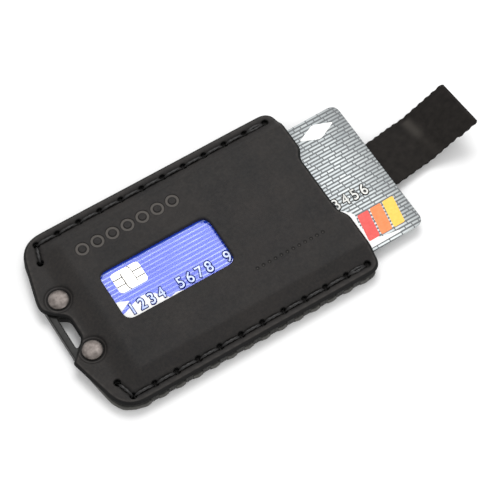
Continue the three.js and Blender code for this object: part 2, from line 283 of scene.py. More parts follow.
def new_object(name, data):
    made = bpy.data.objects.new(name, data)
    bpy.context.scene.collection.objects.link(made)
    return made


def mesh_object(name, build, sharp=40):
    points = np.vstack(build.points) * MM
    mesh = bpy.data.meshes.new(name)
    mesh.from_pydata([tuple(p) for p in points], [], build.faces)
    work = bmesh.new()
    work.from_mesh(mesh)
    bmesh.ops.remove_doubles(work, verts=work.verts, dist=1e-6)
    bmesh.ops.recalc_face_normals(work, faces=work.faces)
    work.to_mesh(mesh)
    work.free()
    mesh.polygons.foreach_set("use_smooth", [True] * len(mesh.polygons))
    mesh.set_sharp_from_angle(angle=math.radians(sharp))
    return new_object(name, mesh)


def paint(made, tone):
    """Stores a shade at every vertex, -1 dark to 1 light, from its place in millimetres."""
    points = np.array([v.co for v in made.data.vertices]) / MM
    shades = made.data.attributes.new("tone", "FLOAT", "POINT")
    shades.data.foreach_set("value", np.clip(tone(points), -1, 1))


def ribbon(name, over, beneath, sharp=60):
    """A closed sheet between two grids of points, rows by columns, of the same size."""
    rows, columns = over.shape[:2]
    low = rows * columns
    faces = []
    for i in range(rows - 1):
        for j in range(columns - 1):
            a, b = i * columns + j, (i + 1) * columns + j
            faces += [(a, b, b + 1, a + 1), (low + a, low + a + 1, low + b + 1, low + b)]
    rim = [i * columns for i in range(rows)]
    rim += [(rows - 1) * columns + j for j in range(1, columns)]
    rim += [i * columns + columns - 1 for i in range(rows - 2, -1, -1)]
    rim += [j for j in range(columns - 2, 0, -1)]
    faces += [(a, b, low + b, low + a) for a, b in zip(rim, rim[1:] + rim[:1])]
    build = Build()
    build.add(np.concatenate([over, beneath]).reshape(-1, 3), faces)
    return mesh_object(name, build, sharp)


def plate(name, outer, holes, grid, rings, top, under, extra=(), outer_wall=None, sharp=40):
    """A closed plate: a top and an underside over one flat region, joined by walls at every loop."""
    flat, faces = triangulate(outer, holes, grid, rings, extra)
    build = Build()
    build.add(np.column_stack([flat, top(flat)]), faces)
    build.add(np.column_stack([flat, under(flat)]), faces[:, ::-1])
    for loop in [outer, *holes]:
        high = np.column_stack([loop, top(loop)])
        low = np.column_stack([loop, under(loop)])
        between = outer_wall(loop, high, low) if outer_wall and loop is outer else []
        build.wall([high, *between, low])
    return mesh_object(name, build, sharp)


# -------- the front leather
def hole_row(side):
    row = [(HOLE_FIRST + i * HOLE_PITCH, side * SEAM_Y) for i in range(HOLE_COUNT)]
    return [(INNER_HOLE[0], side * INNER_HOLE[1]), *row]


def seam_lines():
    return [line for side in (1, -1) for line in zip(hole_row(side), hole_row(side)[1:])]


def seam_holes(radius, count):
    return [circle(x, y, radius, count) for side in (1, -1) for x, y in hole_row(side)]


def rivet_holes():
    return [circle(x, y, RIVET_HOLE, 20) for x, y in RIVETS.values()]


def raised(x, y, ramp=(RAMP_OUT, RAMP_IN), end_ramp=END_RAMP):
    """The height of the moulded middle above the seams."""
    side = smooth((ramp[0] - np.abs(y)) / (ramp[0] - ramp[1]))
    end = smooth((x - end_ramp[0]) / (end_ramp[1] - end_ramp[0]))
    return side * end * (RAISE + DOME * (1 - (y / RAMP_OUT) ** 2))


# The outline as corners (x, y, rounding), with the thumb notch in the mouth and the bay over the slot.
THUMB_X, BAY_X = MOUTH - 2.2, -45.7
LEATHER_OUTLINE = [
    (MOUTH, -HALF_WIDTH, 5), (MOUTH, -14.2, 1.4), (THUMB_X, -10.8, 1.4), (THUMB_X, 12.4, 1.4),
    (MOUTH, 15.8, 1.4), (MOUTH, HALF_WIDTH, 5), (SHOULDER, HALF_WIDTH, 8), (CLOSED_END, FLAT_HALF, 1.3),
    (CLOSED_END, 9.4, 1.2), (BAY_X, 3.1, 1.6), (BAY_X, -5.5, 1.6), (CLOSED_END, -11.8, 0.3),
    (CLOSED_END, -FLAT_HALF, 0.3), (SHOULDER, -HALF_WIDTH, 8),
]

BADGE_RINGS = [(-30.4 + 5.7 * i, 20.9) for i in range(7)]
BADGE_RADIUS, BADGE_STROKE, BADGE_DEPTH = 1.85, 0.42, 0.32
DOTS = [(14.6 + 2.3 * i, -15.4) for i in range(12)]
DOT_RADIUS, DOT_DEPTH = 0.62, 0.24


def ring_distance(x, y):
    """How far each point lies from the nearest stroke of the pressed rings."""
    return np.min([np.abs(np.hypot(x - cx, y - cy) - BADGE_RADIUS) for cx, cy in BADGE_RINGS], axis=0)


def dot_distance(x, y):
    return np.min([np.hypot(x - cx, y - cy) for cx, cy in DOTS], axis=0)


def front_leather():
    outer = spaced(rounded(LEATHER_OUTLINE), 0.45)
    window = spaced(rectangle(WINDOW_X, WINDOW_Y, WINDOW_RADIUS), 0.35)
    stitch_holes = seam_holes(HOLE_RADIUS, 16)
    badge_rows, seat_rows = np.arange(1.0, 2.9, 0.21), (3.6, 3.85, 4.1, 4.35, 4.6, 4.85, 5.1)
    extra = [circle(x, y, r, max(6, round(18 * r))) for x, y in BADGE_RINGS for r in badge_rows]
    extra += [circle(x, y, r, 12) for x, y in DOTS for r in (0.2, 0.42, 0.62, 0.85)]
    extra += [circle(x, y, r, 70) for x, y in RIVETS.values() for r in seat_rows]
    extra = [row[inside(row, outer - outward(outer) * 0.6)] for row in extra]
    lines = seam_lines()

    def top(points):
        x, y = points.T
        z = SEAM_TOP + raised(x, y, (FACE_RAMP_OUT, FACE_RAMP_IN), FACE_END_RAMP)
        for cx, cy in RIVETS.values():
            off = np.hypot(x - cx, y - cy)
            seat = smooth((SEAT_RADIUS - off) / SEAT_SLOPE)
            bead = BEAD_HEIGHT * bell(off, BEAD_RADIUS, 0.22)
            z = z * (1 - seat) + (SEAM_TOP - SEAT_DROP + bead) * seat
            z -= MOAT_DEPTH * bell(off, MOAT_RADIUS, 0.2)
        z -= GROOVE_DEPTH * smooth((GROOVE_HALF - distance_to_lines(points, lines)) / 0.85)
        z -= round_off(points, stitch_holes, 0.5)
        z -= round_off(points, [outer], 0.85)
        z -= round_off(points, [window], 0.5)
        z -= BADGE_DEPTH * smooth((BADGE_STROKE + 0.2 - ring_distance(x, y)) / 0.25)
        z -= DOT_DEPTH * smooth((DOT_RADIUS - dot_distance(x, y)) / 0.35)
        z += 0.05 * np.sin(x / 9.1 + 1.3) * np.sin(y / 7.3) + 0.03 * np.sin(x / 4.3 - y / 5.9)
        return z

    def under(points):
        x, y = points.T
        return SEAM_TOP - LEATHER_THICK + raised(x, y)

    def edge(loop, high, low):
        out = outward(loop)
        rows = []
        for share, bulge in ((0.2, 0.16), (0.45, 0.22), (0.75, 0.12)):
            row = high * (1 - share) + low * share
            row[:, :2] += out * bulge
            rows.append(row)
        return rows

    def tone(points):
        """Paler in the pressed marks, with a painted highlight along the rounded edge; painted shade beside
        the marks, in the grooves and holes, round the rivets and on the edge wall.
        """
        flat = points[:, :2]
        x, y = flat.T
        off = ring_distance(x, y)
        # pale floors in the pressed rings, with painted shade on their walls
        shade = 0.8 * (off < BADGE_STROKE) - 0.6 * ((off > BADGE_STROKE + 0.1) & (off < BADGE_STROKE + 0.35))
        dot = dot_distance(x, y)
        # pale in the pressed dots, with painted shade round them
        shade = shade + 0.35 * (dot < 0.3) - 0.5 * ((dot > 0.4) & (dot < 0.8))
        rim = distance_to(flat, [outer])
        # a painted highlight along the rounded outer edge, varying along it
        shade = shade + 0.3 * bell(rim, 0.85, 0.3) * (0.7 + 0.3 * np.sin(x * 1.7 + y * 2.3))
        # painted shade in the stitch grooves
        shade = shade - 0.5 * smooth((GROOVE_HALF - distance_to_lines(flat, lines)) / 0.8)
        # painted shade in the stitch holes
        shade = shade - smooth((0.3 - distance_to(flat, stitch_holes)) / 0.3)
        # painted shade at the rivet cap's edge and in the groove outside the seat, a painted highlight on the
        # raised bead
        for cx, cy in RIVETS.values():
            off = np.hypot(x - cx, y - cy)
            shade = shade - 0.8 * bell(off, 3.75, 0.3) + 0.3 * bell(off, 4.3, 0.2)
            shade = shade - 0.6 * bell(off, 4.7, 0.2)
        # painted shade on the edge wall and the outermost half millimetre of the face
        wall = smooth((0.62 - rim) / 0.25)
        return shade * (1 - wall) - wall

    made = plate(
        "leather_front", outer, [window, *stitch_holes, *rivet_holes()], 0.55, (0.1, 0.25, 0.45, 0.75),
        top, under, extra=np.vstack(extra), outer_wall=edge,
    )
    paint(made, tone)
    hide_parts("front_leather")
    return made


# -------- the back frame
# Its side wall from top to bottom: z and how far out it stands between the ribs, then the same on a rib.
SIDE_WALL = [
    (2.35, 0.0, 3.42, 0.35), (2.15, 0.45, 3.3, 0.68), (1.95, 0.85, 3.05, 0.78), (1.6, 1.12, 2.2, 0.78),
    (1.2, 1.2, 1.2, 0.78), (0.7, 1.14, 0.7, 0.76), (0.3, 0.92, 0.3, 0.66), (0.08, 0.55, 0.08, 0.5),
]


def pocket_loop(inset):
    x, y = (POCKET_END + inset, FRAME_MOUTH + 4), (-POCKET_HALF + inset, POCKET_HALF - inset)
    return rectangle(x, y, 2)


def frame_body():
    corners = [
        (FRAME_MOUTH, -FRAME_HALF, 5), (FRAME_MOUTH, FRAME_HALF, 5), (FRAME_SHOULDER, FRAME_HALF, 8),
        (FRAME_END, FLAT_HALF, 2), (FRAME_END, -FLAT_HALF, 2), (FRAME_SHOULDER, -FRAME_HALF, 8),
    ]
    outer = spaced(rounded(corners), 0.16)
    slot = spaced(rounded(SLOT), 0.3)
    lines = seam_lines()
    pocket = pocket_loop(0)
    step_rows = [spaced(pocket_loop(inset), 0.6) for inset in (0, 0.12)]
    pocket_rows = np.vstack([row[row[:, 0] < FRAME_MOUTH - 0.5] for row in step_rows])
    seat_rows = np.vstack([circle(x, y, r, 48) for x, y in RIVETS.values() for r in (3.5, BACK_SEAT_RADIUS)])
    groove_rows = np.vstack([
        np.array([(x, side * SEAM_Y + s) for x in np.arange(HOLE_FIRST, 47, 0.7)])
        for side in (1, -1) for s in (-1.05, -0.95, 0.95, 1.05)
    ])

    def top(points):
        z = np.full(len(points), FRAME_RAIL)
        z[inside(points, pocket)] = FRAME_FLOOR
        z -= round_off(points, [slot], 0.4)
        z -= round_off(points, [outer], 0.25)
        return z

    def under(points):
        x, y = points.T
        z = BACK_GROOVE_DEPTH * smooth((BACK_GROOVE_HALF - distance_to_lines(points, lines)) / 0.12)
        for cx, cy in RIVETS.values():
            seat = smooth((BACK_SEAT_RADIUS - np.hypot(x - cx, y - cy)) / 0.12)
            z = np.maximum(z, BACK_SEAT_DEPTH * seat)
        z += round_off(points, [slot], 0.4)
        return z

    def side_wall(loop, _high, _low):
        out = outward(loop)
        x, y = loop.T
        phase = (x - RIB_FIRST) / RIB_PITCH
        index = np.clip(np.round(phase), 0, RIB_COUNT - 1)
        off = np.abs(x - RIB_FIRST - index * RIB_PITCH)
        rib = smooth((RIB_LENGTH / 2 + 0.18 - off) / 0.3) * (np.abs(y) > FRAME_HALF - 0.1)
        teeth = TOOTH_DEPTH * (1 + np.cos(2 * math.pi * x / TOOTH_PITCH))
        between = RIB_PITCH / 2 - np.abs(x - RIB_FIRST - phase.round() * RIB_PITCH)
        swell = 0.12 * np.cos(math.pi * np.clip(between / 1.7, -1, 1))
        lip = 1 - 0.5 * smooth((out[:, 0] - 0.3) / 0.5)
        lip -= (1 - np.clip((np.abs(y) - FLAT_HALF) / 16, 0, 1)) * smooth((-out[:, 0] - 0.2) / 0.4)
        rows = []
        for low_z, low_out, tall_z, tall_out in SIDE_WALL:
            z = low_z * (1 - rib) + tall_z * rib
            shift = lip * (low_out + swell * (low_out > 0.8)) * (1 - rib) + (tall_out - teeth) * rib
            rows.append(np.column_stack([loop + out * shift[:, None], z]))
        return rows

    holes = [slot, *seam_holes(FRAME_HOLE_RADIUS, 14), *rivet_holes()]
    extra = np.vstack([pocket_rows, seat_rows, groove_rows])
    made = plate(
        "frame_body", outer, holes, 1.6, (0.1, 0.22, 0.42), top, under, extra, outer_wall=side_wall, sharp=35,
    )

    def tone(points):
        """Painted highlight on the lower bulges, painted shade above them under the leather's edge and on the
        toothed ribs, and the end bar darker all over.
        """
        x, y, z = points.T
        flat = points[:, :2]
        beyond = smooth(distance_to(flat, [outer]) / 0.1) * ~inside(flat, outer)
        to_rib = np.abs((x - RIB_FIRST + RIB_PITCH / 2) % RIB_PITCH - RIB_PITCH / 2)
        rib = (to_rib < RIB_LENGTH / 2 + 0.1) & (np.abs(y) > FRAME_HALF) & (x > RIB_FIRST - RIB_PITCH / 2)
        # painted highlight low on the bulges, painted shade higher up where the leather overhangs
        bulge = 0.55 * smooth((2.35 - z) / 0.5) - smooth((z - 1.95) / 0.35)
        end_bar = (x < -44) & (np.abs(y) < FLAT_HALF + 1.5)
        # the end bar is darkened all over; the ribs get a light painted shade
        return np.where(end_bar, -0.75, beyond * np.where(rib, -0.2, bulge))

    paint(made, tone)
    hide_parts("back_frame")
    return made


# -------- thread
def sweep(build, line, up, section):
    """Sweeps a closed section along a line of points. section gives (side, height) at each step."""
    line = np.asarray(line, float)
    ahead = np.gradient(line, axis=0)
    ahead /= np.linalg.norm(ahead, axis=1)[:, None]
    side = np.cross(up, ahead)
    side /= np.linalg.norm(side, axis=1)[:, None]
    over = np.cross(ahead, side)
    rings = []
    for i, point in enumerate(line):
        across, height = section(i / (len(line) - 1))
        rings.append(point + np.outer(across, side[i]) + np.outer(height, over[i]))
    n = len(rings[0])
    faces = [(a, d, c, b) for a, b, c, d in band_faces(len(rings), n)]
    faces.append(tuple(range(n - 1, -1, -1)))
    faces.append(tuple((len(rings) - 1) * n + i for i in range(n)))
    build.add(np.vstack(rings), faces)


def stitch(build, a, b, z_over, z_end, side_shift=0.0, radius=THREAD_RADIUS):
    """One stitch of three-ply thread from hole a to hole b, diving into both."""
    a, b = np.array(a), np.array(b)
    length = np.linalg.norm(b - a)
    along = (b - a) / length
    across = np.array([-along[1], along[0]])
    inset = 0.62
    t = np.linspace(0, 1, 44)
    reach = inset + (length - 2 * inset) * (t + 0.035 * np.sin(2 * math.pi * t))
    rise = z_end + (z_over - z_end) * (1 - np.abs(2 * t - 1) ** 5)
    flat = a + np.outer(reach, along) + np.outer(side_shift * np.sin(math.pi * t), across)
    line = np.column_stack([flat, rise])
    turns = length / PLY_PITCH
    theta = np.arange(18) * 2 * math.pi / 18

    def section(s):
        r = radius * (0.93 + 0.09 * np.cos(3 * theta + 2 * math.pi * turns * s))
        return r * np.cos(theta), r * np.sin(theta) * 0.9

    sweep(build, line, np.array([0.0, 0.0, 1.0]), section)


def seam_thread(side, name):
    """A row of stitches on the leather and along the back, the last one on the leather sewn twice."""
    holes = hole_row(side)
    build = Build()
    over, end = SEAM_TOP - 0.12, SEAM_TOP - 1.5
    last = len(holes) - 2
    for i, (a, b) in enumerate(zip(holes, holes[1:])):
        if i == last:
            stitch(build, a, b, over, end, 0.5, 0.5)
            stitch(build, a, b, over, end, -0.5, 0.5)
        else:
            stitch(build, a, b, over, end)
        stitch(build, a, b, 0.45, 1.3, radius=0.4)
    made = mesh_object("thread_" + name, build, 60)
    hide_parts("seam_thread_" + name)
    return made


# -------- turned pieces
def turned(name, profile, x, y):
    """A turned piece from (radius, z) points, the first and last on the axis."""
    build = Build()
    build.wall([np.column_stack([circle(x, y, r, 64), np.full(64, z)]) for r, z in profile])
    return mesh_object(name, build, 35)


def rivet_cap(name):
    seat = SEAM_TOP - 0.42
    r = RIVET_RADIUS
    turns = np.linspace(0.02, math.pi / 2, 18)
    arc = [(r * math.cos(t), seat + 0.28 + 0.95 * math.sin(t) ** 0.9) for t in turns]
    profile = [(0.001, seat), (r - 0.18, seat), (r, seat + 0.14), *arc]
    made = turned("rivet_dome_" + name, [(max(a, 0.001), z) for a, z in profile][::-1], *RIVETS[name])
    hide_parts("rivet_cap_" + name)
    return made


def rivet_head(name):
    profile = [
        (0.001, SEAM_TOP - 0.1), (1.25, SEAM_TOP - 0.1), (1.25, 1.05), (2.9, 1.05), (3.2, 0.8), (3.25, 0.42),
        (3.1, 0.22), (2.7, 0.15), (1.1, 0.15), (1.0, 0.3), (0.001, 0.34),
    ]
    made = turned("rivet_shank_" + name, profile, *RIVETS[name])
    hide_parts("rivet_post_" + name)
    return made


# -------- cards
class CardFrame:
    """Where a card lies: a point given from its left end and its middle line, turned and placed."""

    def __init__(self, node, turn):
        low, high = (np.array(corner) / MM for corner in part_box(node))
        self.turn = math.radians(turn)
        self.top = high[2]
        self.middle = (low[:2] + high[:2]) / 2

    def at(self, points):
        points = np.asarray(points, float) - [CARD_LENGTH / 2, 0]
        c, s = math.cos(self.turn), math.sin(self.turn)
        return points @ np.array([[c, s], [-s, c]]) + self.middle


def card_plate(name, spot, loop, rise, thick, grid=6.0, rings=(0.05, 0.12, 0.25), soft=0.1):
    """A flat piece on or in a card: its outline is in the card's own measure."""
    outer = spot.at(loop)

    def top(points):
        return spot.top + rise - round_off(points, [outer], soft)

    def under(points):
        return spot.top + rise - thick + round_off(points, [outer], soft) * 0.8

    return plate(name, outer, [], grid, rings, top, under)


def card_body(name, node, spot):
    loop = rectangle((0, CARD_LENGTH), (-CARD_WIDTH / 2, CARD_WIDTH / 2), CARD_RADIUS)
    made = card_plate(name, spot, spaced(loop, 1.0), 0, CARD_THICK)
    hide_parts(node)
    return made


def contact_plate(name, node, spot):
    """The chip's plate: six contacts round a middle field, parted by fine grooves."""
    (x0, x1), (y0, y1) = CHIP_X, CHIP_Y
    outer = spot.at(spaced(rectangle(CHIP_X, CHIP_Y, CHIP_RADIUS), 0.2))
    left, right, low, high = x0 + 3.4, x1 - 3.4, y0 + 1.2, y1 - 1.2
    cuts = [((left, low), (left, high)), ((right, low), (right, high))]
    cuts += [((left, low), (left + 1.1, y0 - 1)), ((right, high), (right - 1.1, y1 + 1))]
    for y in (y0 + 2.7, y0 + 5.3):
        cuts += [((x0 - 1, y), (left, y)), ((x1 + 1 - 4.4, y), (x1 + 1, y))]
    cuts = [tuple(map(tuple, spot.at(line))) for line in cuts]

    def top(points):
        z = spot.top + 0.07 - round_off(points, [outer], 0.06)
        return z - 0.03 * smooth((0.24 - distance_to_lines(points, cuts)) / 0.1)

    def under(points):
        return np.full(len(points), spot.top - 0.2)

    made = plate(name, outer, [], 0.14, (0.06,), top, under)
    paint(made, lambda points: -1.0 * (distance_to_lines(points[:, :2], cuts) < 0.2))
    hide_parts(node)
    return made


def digits(name, spot, rise, spread):
    """Raised numbers in groups of four, made from the built-in font, one mesh for the whole row.

    The strokes grow by spread on either side."""
    build = Build()
    x = DIGIT_LEFT
    for group in NUMBER:
        for digit in group:
            curve = bpy.data.curves.new(name + "_glyph", "FONT")
            curve.body = digit
            curve.align_x = "CENTER"
            curve.size = DIGIT_HEIGHT * 1.38
            glyph = new_object(name + "_glyph", curve)
            bpy.context.view_layer.update()
            flat = glyph.to_mesh()
            points = np.array([v.co[:2] for v in flat.vertices])
            outlines = boundary_loops(flat)
            faces = [tuple(p.vertices) for p in flat.polygons]
            glyph.to_mesh_clear()
            bpy.data.objects.remove(glyph)
            bpy.data.curves.remove(curve)
            raised_glyph(build, thickened(points, outlines, spread), faces, outlines, spot, x, rise)
            x += DIGIT_PITCH
        x += DIGIT_PITCH * GROUP_GAP
    return mesh_object(name, build, 30)


def boundary_loops(mesh):
    """The open edges of a flat mesh, as directed pairs that keep its inside on the left."""
    seen = {}
    for polygon in mesh.polygons:
        for a, b in polygon.edge_keys:
            seen[(a, b)] = seen.get((a, b), 0) + 1
    directed = []
    for polygon in mesh.polygons:
        ring = list(polygon.vertices)
        for a, b in zip(ring, ring[1:] + ring[:1]):
            if seen[tuple(sorted((a, b)))] == 1:
                directed.append((a, b))
    return directed


def thickened(points, outlines, spread):
    """The outline moved outwards, so that the strokes grow by spread on either side."""
    push = np.zeros_like(points)
    if sum(np.cross(points[a], points[b]) for a, b in outlines) < 0:
        spread = -spread
    for a, b in outlines:
        ahead = points[b] - points[a]
        side = np.array([ahead[1], -ahead[0]]) / max(np.hypot(*ahead), 1e-6)
        push[a] += side
        push[b] += side
    return points + spread * push / np.maximum(np.linalg.norm(push, axis=1), 1e-6)[:, None]


def raised_glyph(build, points, faces, outlines, spot, x, rise):
    placed = spot.at(points * [0.86, 1.0] + [x, DIGIT_LINE - DIGIT_HEIGHT / 2])
    top = np.column_stack([placed, np.full(len(placed), spot.top + rise)])
    low = np.column_stack([placed, np.full(len(placed), spot.top - 0.1)])
    n = len(placed)
    walls = [(a, a + n, b + n, b) for a, b in outlines]
    build.add(np.vstack([top, low]), [*faces, *[tuple(i + n for i in f[::-1]) for f in faces], *walls])


# -------- printing on the cards
# Outlines as corners (x, y, rounding), from the card's left end and middle line.
FRONT_HILL = [
    (3, -12, 0.5), (3, -7.6, 0.5), (8.4, -5.7, 1.0), (12.0, -4.2, 1.2), (15.6, -3.3, 1.4), (18.6, -4.4, 1.2),
    (20.9, -6.4, 1.0), (22.8, -8.9, 0.5), (25.4, -8.1, 0.8), (28.5, -9.0, 0.8), (32, -12, 0.5),
]
FRONT_CLOUD = [
    (3, -6.2, 0.4), (6.2, -5.3, 0.6), (8.4, -4.3, 0.6), (11.0, -3.0, 0.5), (7.4, -1.4, 0.8), (3, -1.0, 0.4),
]
REAR_FIELD = [
    (57, -25.8, 0.5), (57, -8.7, 0.5), (64.6, -8.7, 1.0), (67.6, -12.2, 1.0), (66.4, -17.5, 1.5),
    (70.0, -24.0, 1.0), (77, -25.0, 0.4), (77, -25.8, 0.3),
]
REAR_LOZENGE = [(67.4, 21.0, 0.6), (74.2, 18.0, 1.2), (81.4, 21.4, 0.6), (74.6, 24.2, 1.2)]


def printed(name, spot, corners, rise=0.012):
    """A printed field: a film a hundredth of a millimetre or two proud of the card."""
    loop = spaced(rounded(corners, 5), 0.5)
    if np.sum(loop[:, 0] * np.roll(loop[:, 1], -1) - loop[:, 1] * np.roll(loop[:, 0], -1)) < 0:
        loop = loop[::-1]
    return card_plate(name, spot, loop, rise, 0.05, 2.5, (0.1,), 0.01)


def emblem_stripe(index):
    """One of three slanted bars near the card's outer corner."""
    x = 66.0 + 5.0 * index
    return [(x, -23.4, 0.5), (x + 4.3, -23.4, 0.5), (x + 6.2, -13.2, 0.5), (x + 1.9, -13.2, 0.5)]


# -------- webbing
def path_points(line, step):
    """A path of (x, z) points resampled at even steps, with the direction at each."""
    line = np.asarray(line, float)
    along = np.concatenate([[0], np.cumsum(np.linalg.norm(np.diff(line, axis=0), axis=1))])
    at = np.linspace(0, along[-1], round(along[-1] / step) + 1)
    centre = np.stack([np.interp(at, along, line[:, k]) for k in (0, 1)], axis=1)
    ahead = np.gradient(centre, axis=0)
    return at, centre, ahead / np.linalg.norm(ahead, axis=1)[:, None]


def webbing(name, line, thickness, step=0.3, slew=False):
    """A woven strap along a path of (x, z) points: fine bumps in columns, and a wavy selvedge."""
    at, centre, ahead = path_points(line, step)
    half, thick = STRAP_WIDTH / 2, thickness / 2 - WEAVE
    across = np.linspace(-1, 1, round(STRAP_WIDTH / step) | 1)
    column = (across + 1) / 2 * WEAVE_COLUMNS
    ridge = np.abs(np.sin(math.pi * column))
    rim = np.sqrt(np.clip(1 - np.clip((np.abs(across) - 0.955) / 0.045, 0, 1) ** 2, 0, 1))
    over, beneath = [], []
    for s, (x, z), (dx, dz) in zip(at, centre, ahead):
        bump = ridge * (0.5 + 0.5 * np.cos(2 * math.pi * s / WEAVE_PITCH + math.pi * (np.floor(column) % 2)))
        height = (thick + WEAVE * bump) * (0.25 + 0.75 * rim)
        y = across * half * (1 + 0.014 * np.cos(2 * math.pi * s / SELVEDGE_PITCH) - 0.014)
        askew = STRAP_SLEW * float(smooth((x - SLEW_FROM) / SLEW_OVER)) * slew
        lean = TAIL_ANGLE * float(smooth((x - HINGE_X + TAIL_CURVE) / (2 * TAIL_CURVE)))
        shift = STRAP_DRIFT * float(smooth((x - DRIFT_FROM) / DRIFT_OVER)) * slew
        for rows, up in ((over, 1), (beneath, -1)):
            rows.append(np.column_stack([
                x - up * dz * height - askew * y * math.cos(lean),
                STRAP_Y + shift + y,
                z + up * dx * height - askew * y * math.sin(lean),
            ]))
    made = ribbon(name, np.array(over), np.array(beneath))
    # a painted highlight where the strap bends up
    paint(made, bend_highlight)
    return made, at[-1]


def bend_highlight(points):
    """A painted highlight across the webbing where it is bent most, over its left half."""
    x, y, _ = points.T
    across = 0.8 * bell(x + 0.12 * y, BEND_HIGHLIGHT_X, BEND_HIGHLIGHT_WIDTH)
    return across * (0.25 + 0.75 * smooth((y + 2.0) / 4.0)) * smooth((8.4 - y) / 1.5)


def tail_line():
    """The strap's middle line from the pocket to its folded end, past the hinge line."""
    forward = np.array([math.cos(TAIL_ANGLE), math.sin(TAIL_ANGLE)])
    lift = np.array([-forward[1], forward[0]])
    hinge = np.array([HINGE_X, STRAP_MIDDLE])
    points = [(STRAP_FROM, STRAP_MIDDLE), (HINGE_X - TAIL_CURVE - 1, STRAP_MIDDLE)]
    start, end = hinge - [TAIL_CURVE, 0], hinge + forward * TAIL_CURVE
    for s in np.linspace(0, 1, 16):
        points.append(tuple((1 - s) ** 2 * start + 2 * s * (1 - s) * hinge + s * s * end))
    fold = STRAP_THICK / 2 + 0.02
    tip = hinge + forward * (TAIL_LENGTH - STRAP_THICK)
    points.append(tuple(tip))
    for turn in np.linspace(0, math.pi, 10)[1:]:
        points.append(tuple(tip + lift * fold * (math.cos(turn) - 1) + forward * fold * math.sin(turn)))
    points.append(tuple(tip - 2 * fold * lift - forward * (HEM - STRAP_THICK)))
    return points


def bend_line():
    """The strap's turn round the inner end of the rear card."""
    radius = (LEG_MIDDLE - STRAP_MIDDLE) / 2
    middle = STRAP_MIDDLE + radius
    points = [(BEND_END, STRAP_MIDDLE)]
    for turn in np.linspace(0, math.pi, 15):
        points.append((BEND_X + 0.55 - radius * math.sin(turn), middle - radius * math.cos(turn)))
    points.append((BEND_END, LEG_MIDDLE))
    return points


# -------- lining
def lining():
    """The thin lining between the two cards: flat in the middle, down to the rails at the sides."""
    side = [(28.3, 5.52), (29.2, 4.98), (29.7, 4.42), (30.1, 4.05), (30.5, 3.78), (34.0, 3.76)]
    profile = np.array([(-y, z) for y, z in side[::-1]] + [(0, 5.52)] + side)
    lengths = np.concatenate([[0], np.cumsum(np.linalg.norm(np.diff(profile, axis=0), axis=1))])
    at = np.linspace(0, lengths[-1], 140)
    y, z = (np.interp(at, lengths, profile[:, k]) for k in (0, 1))
    over, beneath = [], []
    for x in np.linspace(*LINING_X, 120):
        wrinkle = 0.03 * np.sin(x / 3.1 + y / 4.7) * np.exp(-((np.abs(y) / 27) ** 8))
        over.append(np.column_stack([np.full_like(y, x), y, z + wrinkle + LINING_HALF_THICK]))
        beneath.append(np.column_stack([np.full_like(y, x), y, z + wrinkle - LINING_HALF_THICK]))
    return ribbon("lining_cloth", np.array(over), np.array(beneath)), (lengths[-1], LINING_X[1] - LINING_X[0])


